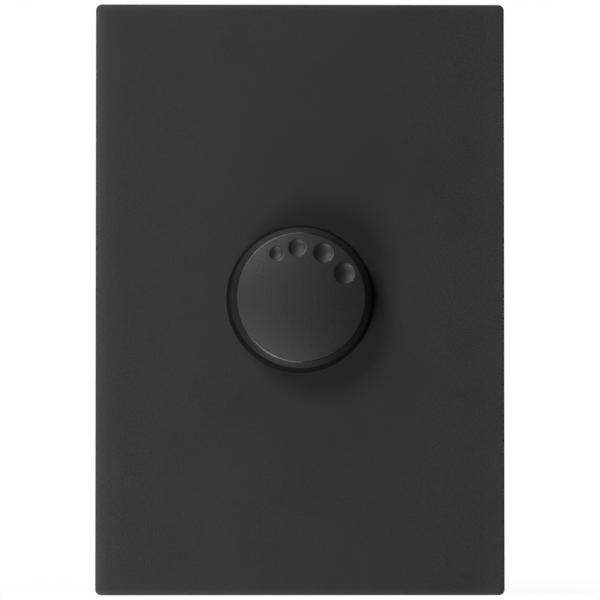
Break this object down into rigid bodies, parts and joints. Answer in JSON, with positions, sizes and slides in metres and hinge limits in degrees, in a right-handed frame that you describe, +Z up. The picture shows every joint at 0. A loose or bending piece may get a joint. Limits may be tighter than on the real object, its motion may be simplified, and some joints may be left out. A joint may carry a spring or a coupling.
{
  "type": "rotary dimmer switch",
  "caption": "Wall dimmer for lamps: flat rectangular plate without screws, round crowned knob with a row of growing finger dimples, and an electronics module behind it that fits a wall box.",
  "frame": {"origin": "the knob's turning axis where it meets the wall's face, midway between the two box screws", "axes": "+X to the right as seen from the room, +Y into the wall, +Z up along the plate's longer side"},
  "size_m": [0.083, 0.0511, 0.12],
  "materials": {
    "cover_plastic": "fine satin moulded grain",
    "frame_plastic": "plain moulded",
    "module_plastic": "plain moulded",
    "plated_metal": "zinc plated",
    "spring_steel": "bright rolled",
    "shaft_aluminium": "turned",
    "rotor_plastic": "plain moulded",
    "contact_brass": "rolled strip",
    "wafer_laminate": "paper laminate with a printed dark track",
    "tinned_metal": "tin plated",
    "switch_plastic": "phenolic moulding",
    "board_laminate": "paper laminate",
    "capacitor_plastic": "smooth moulded box",
    "resistor_ceramic": "lacquered",
    "diac_lacquer": "lacquered glass bead",
    "choke_sleeve": "shrunk sleeve",
    "triac_plastic": "epoxy moulding",
    "sink_aluminium": "rolled sheet",
    "terminal_brass": "sawn and drilled bar"
  },
  "bodies": {
    "base": {"front_plate": "cover_plastic", "support_frame": "frame_plastic", "module_cover": "module_plastic", "module_housing": "module_plastic", "pot_bush": "plated_metal", "pot_washer": "plated_metal", "pot_nut": "plated_metal", "pot_wafer": "wafer_laminate", "pot_lugs": "tinned_metal", "pot_can": "plated_metal", "pot_switch": "switch_plastic", "circuit_board": "board_laminate", "filter_capacitor": "capacitor_plastic", "timing_capacitor": "capacitor_plastic", "resistor": "resistor_ceramic", "diac": "diac_lacquer", "filter_choke": "choke_sleeve", "triac_frame": "tinned_metal", "triac_body": "triac_plastic", "heat_sink": "sink_aluminium", "heat_sink_clip": "spring_steel", "line_terminal": "terminal_brass", "load_terminal": "terminal_brass", "clamp_screws": "plated_metal"},
    "rotor": {"knob": "cover_plastic", "knob_spring": "spring_steel", "shaft": "shaft_aluminium", "pot_rotor": "rotor_plastic", "pot_wiper": "contact_brass"}
  },
  "joints": [
    {"name": "knob_turn", "type": "hinge", "parent": "base", "child": "rotor", "pos_m": [0, 0, 0], "axis": [0, -1, 0], "range_deg": [-134.2, 165.8]}
  ]
}
